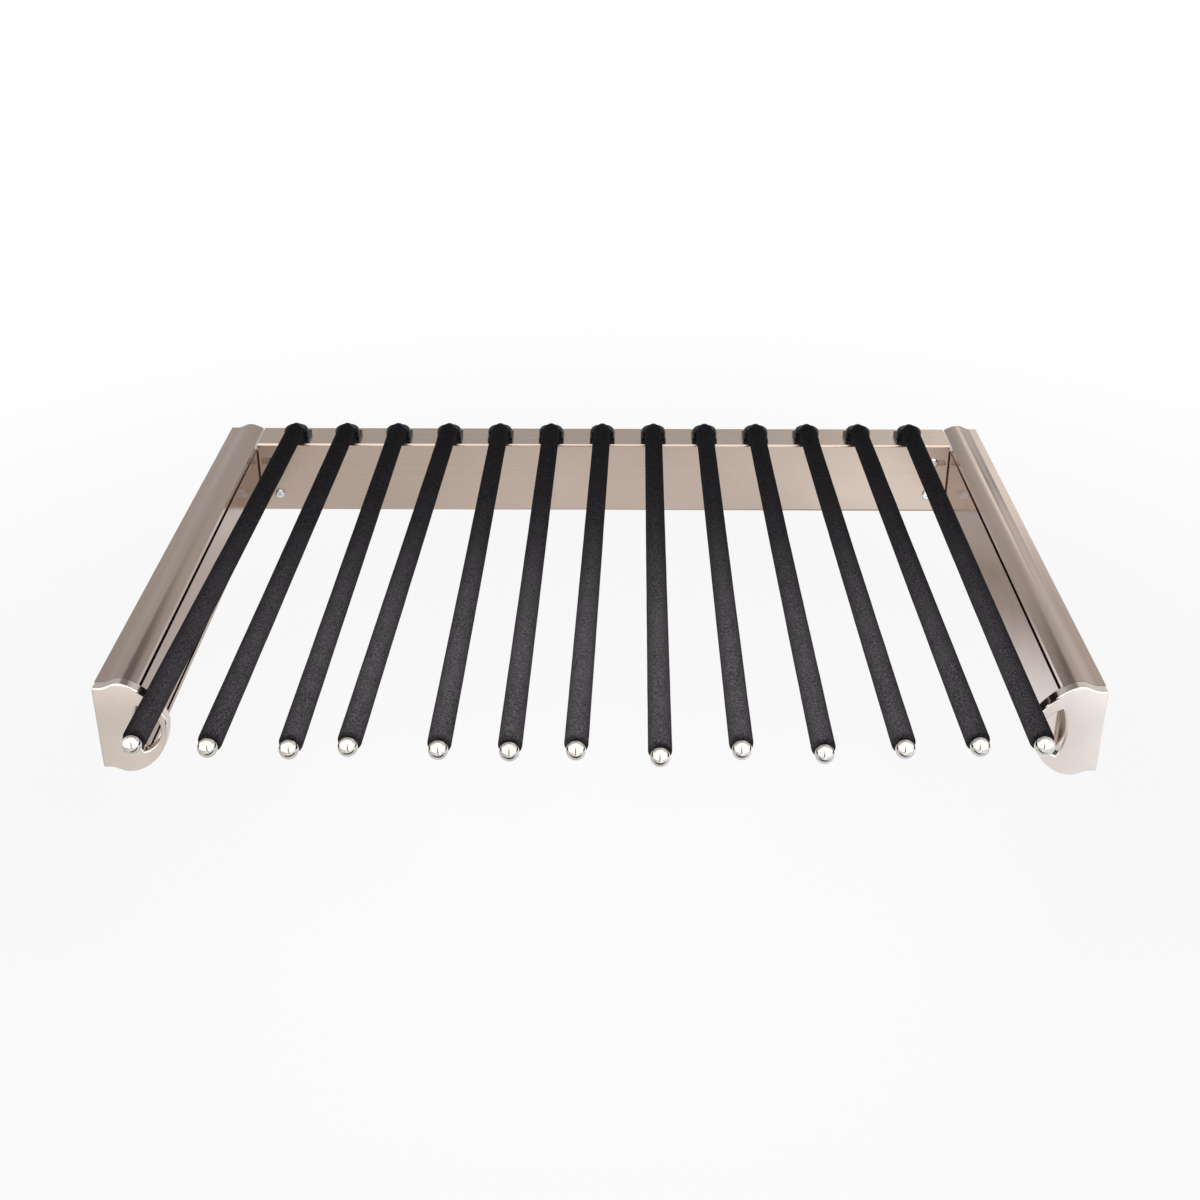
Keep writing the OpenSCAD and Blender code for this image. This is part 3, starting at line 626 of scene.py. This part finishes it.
# How each finish is made, its tint in the settings, and what differs from the maker's defaults
FINISHES = {
    # The covers' broad bands run long and soft: brush tone, and also painted reflection streaks
    "cover nickel": (brushed_metal, "cover_nickel", {
        "broad": 110.0, "along": 2.6, "contrast": 0.08, "rough": (0.1, 0.16), "relief": 0.0015,
        "rubbed": 0.1, "flecks": 0.1}),
    "rail nickel": (brushed_metal, "rail_nickel", {
        "turn": CROSSWISE, "broad": 230.0, "along": 2.2, "contrast": 0.03, "rough": (0.2, 0.27),
        "relief": 0.0003, "flecks": 0.02}),
    "plate nickel": (brushed_metal, "plate_nickel", {
        "broad": 240.0, "along": 5.0, "contrast": 0.05, "rough": (0.1, 0.18), "relief": 0.001,
        "wave": 0.6, "wave_size": 20.0, "flecks": 0.05}),
    "cap nickel": (satin_metal, "cap_nickel", {"rough": (0.11, 0.17), "wave": 0.3}),
    "ball nickel": (satin_metal, "ball_nickel", {"rough": (0.09, 0.13), "wave": 0.0}),
    "slide steel": (brushed_metal, "slide_steel", {
        "broad": 320.0, "along": 3.0, "contrast": 0.1, "rough": (0.28, 0.42)}),
    "cage steel": (brushed_metal, "cage_steel", {
        "broad": 500.0, "along": 6.0, "contrast": 0.06, "rough": (0.22, 0.32)}),
    "rod steel": (brushed_metal, "slide_steel", {
        "broad": 900.0, "along": 20.0, "contrast": 0.06, "rough": (0.3, 0.4)}),
    "screw zinc": (satin_metal, "screw_zinc", {"rough": (0.16, 0.28), "grain_size": 2200.0}),
    "bearing steel": (satin_metal, "screw_zinc", {
        "rough": (0.05, 0.09), "relief": 0.0, "wave": 0.0}),
    "black foam": (foam_material, "foam", {}),
    "black moulding": (moulded_material, "moulding", {}),
}


def material(key):
    """One of the rack's materials, made when a piece first asks for it."""
    if key in bpy.data.materials:
        return bpy.data.materials[key]
    make, tint, settings = FINISHES[key]
    return make(key, getattr(bpy.context.scene.rack_finishes, tint), **settings)


# Meshes and pieces

def mesh_of(bm, name):
    """Turns a bmesh into a mesh, and frees it."""
    mesh = bpy.data.meshes.new(name)
    bm.to_mesh(mesh)
    bm.free()
    return mesh


def link_object(name, data):
    made = bpy.data.objects.new(name, data)
    bpy.context.scene.collection.objects.link(made)
    return made


def make_piece(bm, name, finish, body, stands_for=(), smooth=35.0, even=True):
    """Turns a bmesh into a piece of the rack, at the origin, on its body and in its slot."""
    mesh = mesh_of(bm, name)
    mesh.materials.append(material(finish))
    mesh.shade_smooth()
    mesh.set_sharp_from_angle(angle=math.radians(smooth))
    piece = link_object(name, mesh)
    if even:
        evened = piece.modifiers.new("Even shading", "WEIGHTED_NORMAL")
        evened.keep_sharp = True
    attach(piece, body)
    if stands_for:
        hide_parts(*stands_for)
    return piece


def welded_copy(node):
    """A bmesh of a CAD node in which neighbouring faces share their points."""
    bm = bmesh.new()
    bm.from_mesh(frame["nodes"][node].data)
    bmesh.ops.remove_doubles(bm, verts=bm.verts, dist=WELD)
    return bm


def soften(bm, width, segments, angle):
    """Rounds every edge that is sharper than the angle, and marks the new faces for the edge
    wear."""
    marks = bm.faces.layers.float.new(EDGE_LAYER)
    sharp = [edge for edge in bm.edges
             if len(edge.link_faces) == 2 and edge.calc_face_angle() > math.radians(angle)]
    made = bmesh.ops.bevel(bm, geom=sharp, offset=width, offset_type="OFFSET", segments=segments,
                           profile=0.5, affect="EDGES", clamp_overlap=True, material=-1)
    for face in made["faces"]:
        face[marks] = 1.0


def remake_node(node, name, finish, body, edge=0.0, segments=2, angle=40.0):
    """Replaces a CAD node by its own form with whole flat faces, softened edges and a finish."""
    bm = welded_copy(node)
    bmesh.ops.dissolve_limit(bm, angle_limit=FLATNESS, use_dissolve_boundaries=False,
                             verts=bm.verts, edges=bm.edges, delimit=set())
    bmesh.ops.recalc_face_normals(bm, faces=bm.faces)
    if edge:
        soften(bm, edge, segments, angle)
    return make_piece(bm, name, finish, body, [node])


def finish_nodes(finish, nodes):
    """Gives a finish to CAD nodes that stay as they are."""
    for name in nodes:
        for place in frame["nodes"][name].material_slots:
            place.material = material(finish)


def solids_of(node):
    """The box of each separate solid in a CAD node, in order along X, then Z."""
    bm = welded_copy(node)
    unseen = set(bm.verts)
    boxes = []
    while unseen:
        queue = [unseen.pop()]
        found = []
        while queue:
            vertex = queue.pop()
            found.append(vertex.co.copy())
            for edge in vertex.link_edges:
                other = edge.other_vert(vertex)
                if other in unseen:
                    unseen.remove(other)
                    queue.append(other)
        low = Vector([min(point[k] for point in found) for k in range(3)])
        high = Vector([max(point[k] for point in found) for k in range(3)])
        boxes.append((low, high))
    bm.free()
    return sorted(boxes, key=lambda box: (round(box[0].x, 4), round(box[0].z, 4)))


def arm_axis(node):
    """Back end, direction, length and radius of a straight round CAD node."""
    points = {tuple(round(c, 6) for c in v.co) for v in frame["nodes"][node].data.vertices}
    points = [Vector(point) for point in points]
    middle = sum(point.y for point in points) / len(points)
    ends = []
    for group in ([p for p in points if p.y > middle], [p for p in points if p.y <= middle]):
        ends.append(sum(group, Vector()) / len(group))
    back, front = ends
    direction = (front - back).normalized()
    along = [(point - back).dot(direction) for point in points]
    radius = max(((point - back) - direction * run).length for point, run in zip(points, along))
    return back + direction * min(along), direction, max(along) - min(along), radius


def lying(direction):
    """The turn that lays a form drawn along Z in a direction."""
    return Vector((0, 0, 1)).rotation_difference(direction).to_matrix().to_4x4()


def arc(centre_r, centre_h, radius, start, end, count):
    """Points of an arc in a profile, from one angle to another, in degrees."""
    angles = [math.radians(start + (end - start) * i / count) for i in range(count + 1)]
    return [(centre_r + radius * math.cos(a), centre_h + radius * math.sin(a)) for a in angles]


def spin_profile(bm, profile, steps, matrix):
    """Turns a profile of (radius, height) points about Z, then places it."""
    old = set(bm.verts)
    corners = [bm.verts.new((radius, 0.0, height)) for radius, height in profile]
    edges = [bm.edges.new(pair) for pair in zip(corners, corners[1:])]
    bmesh.ops.spin(bm, geom=corners + edges, cent=(0, 0, 0), axis=(0, 0, 1), dvec=(0, 0, 0),
                   angle=2 * math.pi, steps=steps, use_merge=True)
    new = [vertex for vertex in bm.verts if vertex not in old]
    bmesh.ops.remove_doubles(bm, verts=new, dist=WELD / 10)
    bmesh.ops.transform(bm, matrix=matrix, verts=[vertex for vertex in new if vertex.is_valid])


def sleeve_profile(foam, radius, run):
    """Outline of a foam sleeve from its back end, closed round its bore."""
    front, back = foam.front_round, foam.back_round
    straight = run - front - back
    rings = foam.ring_count
    profile = [(BORE, 0.0)] + arc(radius - back, back, back, -90, 0, BACK_STEPS)
    profile += [(radius, back + straight * i / rings) for i in range(1, rings)]
    profile += arc(radius - front, run - front, front, 0, 90, FRONT_STEPS)
    profile += [(BORE + MOUTH_FLARE, run - MOUTH_LIP), (BORE, run - MOUTH_DEPTH)]
    return profile + [(BORE, run / 2), (BORE, 0.0)]


def swell(bm, unevenness, number):
    """Lets the skin of an upright sleeve swell and sink a little, its own way on each arm."""
    for vertex in bm.verts:
        out = Vector((vertex.co.x, vertex.co.y, 0.0))
        if out.length > BORE + SKIN_START:
            seed = Vector((out.x * UNEVEN_ROUND, out.y * UNEVEN_ROUND,
                           vertex.co.z * UNEVEN_ALONG + number * UNEVEN_STEP))
            vertex.co += out.normalized() * noise.noise(seed) * unevenness


def ball_profile(radius):
    """Outline of a ball round the origin, from the floor of its bore to its front."""
    seat = math.acos((BORE + SEAT_RING) / radius)
    profile = [(0.0, BORE_FLOOR), (BORE - FLOOR_BEVEL, BORE_FLOOR)]
    profile += [(BORE, BORE_FLOOR - FLOOR_BEVEL), (BORE, SEAT_BEVEL - radius * math.sin(seat))]
    return profile + arc(0.0, 0.0, radius, -math.degrees(seat), 90, BALL_STEPS)


def screw_profile(head_d, head_h, shank_d, run):
    """Outline of a pan-head screw. Its head's seat is at 0, and its shank runs up Z."""
    head_r = head_d / 2
    shank_r = shank_d / 2
    root_r = shank_r - THREAD_DEPTH
    dome = head_h * DOME_SHARE
    profile = [(0.0, -head_h), (head_r * FLAT_SHARE, -head_h)]
    profile += arc(head_r - dome, dome - head_h, dome, -90, 0, DOME_STEPS)
    profile += [(head_r, -HEAD_RIM), (head_r - HEAD_BEVEL, 0.0), (shank_r, 0.0)]
    for i in range(int((run - THREAD_NECK - THREAD_END) / THREAD_PITCH)):
        base = THREAD_NECK + i * THREAD_PITCH
        profile += [(root_r, base), (shank_r, base + THREAD_PITCH / 2)]
    return profile + [(root_r, run - POINT_RUN), (root_r - THREAD_DEPTH, run), (0.0, run)]


def recess_cutter(head_d, head_h):
    """A bmesh of the cross that cuts a screw's recess, narrower at its floor."""
    sizes = bpy.context.scene.rack_screws
    bm = bmesh.new()
    span = head_d * sizes.recess_span
    size = (span, span * sizes.recess_wing, 2 * head_h * sizes.recess_depth, 1.0)
    for turn in (0.0, math.pi / 2):
        made = bmesh.ops.create_cube(
            bm, size=1.0, matrix=Matrix.Rotation(turn, 4, "Z") @ Matrix.Diagonal(size))
        for vertex in made["verts"]:
            if vertex.co.z > 0:
                vertex.co.x *= RECESS_TAPER
                vertex.co.y *= RECESS_TAPER
    bmesh.ops.translate(bm, vec=(0, 0, -head_h), verts=bm.verts)
    return bm


def cross_screw(head_d, head_h, shank_d, run):
    """Mesh of a pan-head screw with a cross recess."""
    bm = bmesh.new()
    spin_profile(bm, screw_profile(head_d, head_h, shank_d, run), SCREW_SPOKES,
                 Matrix.Identity(4))
    bmesh.ops.recalc_face_normals(bm, faces=bm.faces)
    body = link_object("screw_body", mesh_of(bm, "screw_body"))
    cutter = link_object("recess_cutter", mesh_of(recess_cutter(head_d, head_h), "recess_cutter"))
    cut = body.modifiers.new("Recess", "BOOLEAN")
    cut.operation = "DIFFERENCE"
    cut.solver = "EXACT"
    cut.use_self = True
    cut.object = cutter
    graph = bpy.context.evaluated_depsgraph_get()
    finished = bpy.data.meshes.new_from_object(body.evaluated_get(graph))
    for item in (body, cutter):
        bpy.data.objects.remove(item)
    return finished


# Steps of the build

class RACK_OT_housings(bpy.types.Operator):
    """Brushed housings with softened edges"""
    bl_idname = "rack.housings"
    bl_label = "Housings"

    def execute(self, context):
        for side in SIDES:
            remake_node(f"{side}_housing", f"{side}_brushed_housing", "cover nickel", "housings",
                        context.scene.rack_edges.extrusion)
        return {"FINISHED"}


class RACK_OT_slides(bpy.types.Operator):
    """Finishes of the ball-bearing slides"""
    bl_idname = "rack.slides"
    bl_label = "Slides"

    def execute(self, context):
        for side in SIDES:
            finish_nodes("slide steel",
                         [f"{side}_{part}_member" for part in ("outer", "middle", "inner")])
            finish_nodes("cage steel", [f"{side}_{part}_cage" for part in ("outer", "inner")])
            finish_nodes("bearing steel", [f"{side}_{part}_balls" for part in ("outer", "inner")])
        finish_nodes("screw zinc", ["slide_rivets", "slide_nuts"])
        return {"FINISHED"}


class RACK_OT_side_plates(bpy.types.Operator):
    """Folded side plates with softened edges"""
    bl_idname = "rack.side_plates"
    bl_label = "Side Plates"

    def execute(self, context):
        for side in SIDES:
            remake_node(f"{side}_side_plate", f"{side}_bright_plate", "plate nickel", "rack",
                        context.scene.rack_edges.sheet)
        return {"FINISHED"}


class RACK_OT_end_caps(bpy.types.Operator):
    """Cast end caps with their finger pulls"""
    bl_idname = "rack.end_caps"
    bl_label = "End Caps"

    def execute(self, context):
        for side in SIDES:
            remake_node(f"{side}_end_cap", f"{side}_cast_cap", "cap nickel", "rack")
        return {"FINISHED"}


class RACK_OT_back_rail(bpy.types.Operator):
    """Folded back rail with softened edges"""
    bl_idname = "rack.back_rail"
    bl_label = "Back Rail"

    def execute(self, context):
        remake_node("back_rail", "brushed_back_rail", "rail nickel", "rack",
                    context.scene.rack_edges.sheet)
        return {"FINISHED"}


class RACK_OT_holders(bpy.types.Operator):
    """Glossy arm holders with softened edges"""
    bl_idname = "rack.holders"
    bl_label = "Arm Holders"

    def execute(self, context):
        for number in ARMS:
            remake_node(f"holder_{number:02d}", f"moulded_holder_{number:02d}", "black moulding",
                        "rack", context.scene.rack_edges.moulding, segments=3,
                        angle=35.0)
        return {"FINISHED"}


class RACK_OT_sleeves(bpy.types.Operator):
    """Foam sleeves with rounded ends and a slightly uneven skin"""
    bl_idname = "rack.sleeves"
    bl_label = "Foam Sleeves"

    def execute(self, context):
        foam = context.scene.rack_foam
        for number in ARMS:
            node = f"sleeve_{number:02d}"
            back, direction, run, radius = arm_axis(node)
            bm = bmesh.new()
            spin_profile(bm, sleeve_profile(foam, radius - foam.unevenness, run), SLEEVE_SPOKES,
                         Matrix.Identity(4))
            swell(bm, foam.unevenness, number)
            bmesh.ops.transform(bm, matrix=Matrix.Translation(back) @ lying(direction),
                                verts=bm.verts)
            bmesh.ops.recalc_face_normals(bm, faces=bm.faces)
            piece = make_piece(bm, f"foam_sleeve_{number:02d}", "black foam", "rack",
                               [node], smooth=60.0, even=False)
        return {"FINISHED"}


class RACK_OT_balls(bpy.types.Operator):
    """Satin balls on the arms' ends, and the rods inside the sleeves"""
    bl_idname = "rack.balls"
    bl_label = "Rods and Balls"

    def execute(self, context):
        bm = bmesh.new()
        for number, (low, high) in zip(ARMS, solids_of("rod_tips")):
            direction = arm_axis(f"sleeve_{number:02d}")[1]
            radius = (high.x - low.x) / 2
            centre = (low + high) / 2
            centre.y = low.y + radius
            spin_profile(bm, ball_profile(radius), BALL_SPOKES,
                         Matrix.Translation(centre) @ lying(direction))
        bmesh.ops.recalc_face_normals(bm, faces=bm.faces)
        make_piece(bm, "arm_balls", "ball nickel", "rack", ["rod_tips"], even=False)
        finish_nodes("rod steel", ["arm_rods"])
        return {"FINISHED"}


class RACK_OT_screws(bpy.types.Operator):
    """Cross-recess screws of the rail, the caps and the arms"""
    bl_idname = "rack.screws"
    bl_label = "Screws"

    def execute(self, context):
        for plan in SCREW_SETS:
            k = "xyz".index(plan.axis)
            boxes = solids_of(plan.node)
            low, high = boxes[0]
            screw = cross_screw(high.x - low.x, plan.head_h, plan.shank_d,
                                high[k] - low[k] - plan.head_h)
            lay = Matrix.Identity(4)
            if plan.axis == "y":
                lay = Matrix.Rotation(-math.pi / 2 if plan.head_low else math.pi / 2, 4, "X")
            bm = bmesh.new()
            for number, (low, high) in enumerate(boxes):
                seat = (low + high) / 2
                seat[k] = low[k] + plan.head_h if plan.head_low else high[k] - plan.head_h
                spin = Matrix.Rotation(FIRST_TURN + number * TURN_STEP, 4, "Z")
                piece = screw.copy()
                piece.transform(Matrix.Translation(seat) @ lay @ spin)
                bm.from_mesh(piece)
                bpy.data.meshes.remove(piece)
            make_piece(bm, plan.name, "screw zinc", "rack", [plan.node],
                       smooth=30.0, even=False)
        return {"FINISHED"}


# Studio

def seen_rays(tree):
    """1 for the rays that see the background: from the camera, off metal and through glass."""
    path = add_node(tree, "ShaderNodeLightPath").outputs
    seen = plus(tree, path["Is Camera Ray"], path["Is Glossy Ray"])
    return plus(tree, seen, path["Is Transmission Ray"], clamp=True)


def on_level(patches, level):
    return [patch._replace(centre=(*patch.centre, level)) for patch in patches]


def make_camera(scene):
    data = bpy.data.cameras.new("studio_camera")
    data.lens = scene.rack_studio.lens
    data.sensor_width = SENSOR
    data.clip_start = NEAR
    camera = link_object("studio_camera", data)
    camera.location = EYE
    camera.rotation_euler = EYE_TURN
    scene.camera = camera


def floor_light(tree, where, level):
    """Tint and strength of the floor's own light: plain white for the camera, and for metal a
    floor that grows brighter to the right, with soft patches."""
    across = along_x(tree, where)
    cloudy = noise_node(tree, where, scale=7.0, detail=1.0, roughness=0.4)
    slope = spread(tree, across, low=0.82, high=1.22, from_low=-0.5, from_high=0.5)
    clouds = spread(tree, cloudy, low=0.84, high=1.12, from_low=0.3, from_high=0.7)
    in_metal = soft_patches(tree, where, times(tree, slope, clouds), on_level(FLOOR_TONES, level))
    tint = mix_colour(tree, mask_of(tree, across, low=-0.4, high=0.4), WHITE, COOL_WHITE)
    browns = soft_patches(tree, where, 0.0, on_level(FLOOR_BROWNS, level))
    tint = mix_colour(tree, browns, tint, BROWN_WHITE)
    eye = add_node(tree, "ShaderNodeLightPath").outputs["Is Camera Ray"]
    not_eye = math_node(tree, "SUBTRACT", 1.0, eye)
    strength = plus(tree, eye, times(tree, in_metal, not_eye))
    return mix_colour(tree, eye, tint, WHITE), strength


def make_floor(studio):
    """White paper that keeps the rack's shadow and fades into the white background."""
    level = CAD_LOW.z - studio.floor_drop
    bm = bmesh.new()
    bmesh.ops.create_grid(bm, x_segments=1, y_segments=1, size=FLOOR_REACH,
                          matrix=Matrix.Translation((0, 0, level)))
    floor = link_object("studio_floor", mesh_of(bm, "studio_floor"))
    made, tree, shader, where = blank_material("studio floor")
    paper = mix_colour(tree, noise_node(tree, where, scale=3.0), *PAPER_WHITES)
    tree.links.new(paper, shader["Base Color"])
    shader["Roughness"].default_value = 0.95
    shader["Specular IOR Level"].default_value = 0.0
    tint, strength = floor_light(tree, where, level)
    glow = add_node(tree, "ShaderNodeEmission", None, {"Color": tint, "Strength": strength})
    fade = spread(tree, distance_node(tree, where), studio.floor_glow, 1.0, FADE_START, FADE_END)
    mixed = add_node(tree, "ShaderNodeMixShader", None, {
        0: times(tree, seen_rays(tree), fade),
        1: tree.nodes["Principled BSDF"].outputs[0],
        2: glow.outputs[0]})
    tree.links.new(mixed.outputs[0], tree.nodes["Material Output"].inputs["Surface"])
    floor.data.materials.append(made)


def make_world(scene):
    """A dim sky for the light, which the camera and metal see as white."""
    world = bpy.data.worlds.new("studio")
    world.use_nodes = True
    tree = world.node_tree
    tree.nodes.clear()
    strength = spread(tree, seen_rays(tree), scene.rack_studio.sky, 1.0)
    light = add_node(tree, "ShaderNodeBackground", None, {"Color": WHITE, "Strength": strength})
    add_node(tree, "ShaderNodeOutputWorld", None, {"Surface": light.outputs[0]})
    scene.world = world


def make_screen(plan):
    """A screen that only metal sees, as a studio hangs round bright metal for contrast."""
    width, height = plan.size
    bm = bmesh.new()
    bmesh.ops.create_grid(bm, x_segments=1, y_segments=1, size=0.5,
                          matrix=Matrix.Translation(plan.place)
                          @ Euler(plan.turn).to_matrix().to_4x4()
                          @ Matrix.Diagonal((width, height, 1.0, 1.0)))
    screen = link_object(plan.name, mesh_of(bm, plan.name))
    made, tree, shader, where = blank_material(plan.name)
    left = plan.place[0] - width / 2
    tone = spread(tree, along_x(tree, where), *plan.tones, left, left + width)
    tone = soft_patches(tree, where, tone, plan.patches)
    shader["Base Color"].default_value = BLACK
    shader["Roughness"].default_value = 1.0
    shader["Emission Strength"].default_value = 1.0
    tree.links.new(tone, shader["Emission Color"])
    screen.data.materials.append(made)
    for ray in ("camera", "diffuse", "transmission", "shadow"):
        setattr(screen, "visible_" + ray, False)


def make_lamp(power):
    """A soft lamp that lights the arms' fronts, but shows in no metal."""
    data = bpy.data.lights.new("front_lamp", "AREA")
    data.shape = "RECTANGLE"
    data.size, data.size_y = LAMP_SIZE
    data.energy = power
    lamp = link_object("front_lamp", data)
    aim = Vector(LAMP_TARGET) - Vector(LAMP_PLACE)
    lamp.location = LAMP_PLACE
    lamp.rotation_euler = aim.to_track_quat("-Z", "Y").to_euler()
    lamp.visible_camera = False
    lamp.visible_glossy = False


class RACK_OT_stage(bpy.types.Operator):
    """Camera, floor, background, lamp and screens of the studio"""
    bl_idname = "rack.stage"
    bl_label = "Studio"

    def execute(self, context):
        scene = context.scene
        make_camera(scene)
        make_floor(scene.rack_studio)
        make_world(scene)
        make_lamp(scene.rack_studio.key)
        for plan in SCREENS:
            make_screen(plan)
        scene.view_settings.view_transform = "Standard"
        return {"FINISHED"}


STEPS = (RACK_OT_stage, RACK_OT_housings, RACK_OT_slides, RACK_OT_side_plates, RACK_OT_end_caps,
         RACK_OT_back_rail, RACK_OT_holders, RACK_OT_sleeves, RACK_OT_balls, RACK_OT_screws)


class RACK_PT_steps(bpy.types.Panel):
    """The rack's pieces and its studio"""
    bl_idname = "RACK_PT_steps"
    bl_label = "Trouser Rack"
    bl_space_type = "VIEW_3D"
    bl_region_type = "UI"
    bl_category = "Trouser Rack"

    def draw(self, context):
        column = self.layout.column()
        for step in STEPS:
            column.operator(step.bl_idname)
        for key in GROUPS:
            settings = getattr(context.scene, key)
            for name in settings.bl_rna.properties.keys():
                if name not in ("rna_type", "name"):
                    column.prop(settings, name)


CLASSES = tuple(GROUPS.values()) + STEPS + (RACK_PT_steps,)


def register():
    for item in CLASSES:
        bpy.utils.register_class(item)
    for key, group in GROUPS.items():
        setattr(bpy.types.Scene, key, PointerProperty(type=group))


def unregister():
    for key in GROUPS:
        delattr(bpy.types.Scene, key)
    for item in reversed(CLASSES):
        bpy.utils.unregister_class(item)


def main():
    register()
    # The camera, light and cube of Blender's own start-up scene
    for old in [o for o in bpy.data.objects if o.type in {"CAMERA", "LIGHT"} or o.name == "Cube"]:
        bpy.data.objects.remove(old)
    for step in STEPS:
        group, name = step.bl_idname.split(".")
        getattr(getattr(bpy.ops, group), name)()


if __name__ == "__main__":
    main()
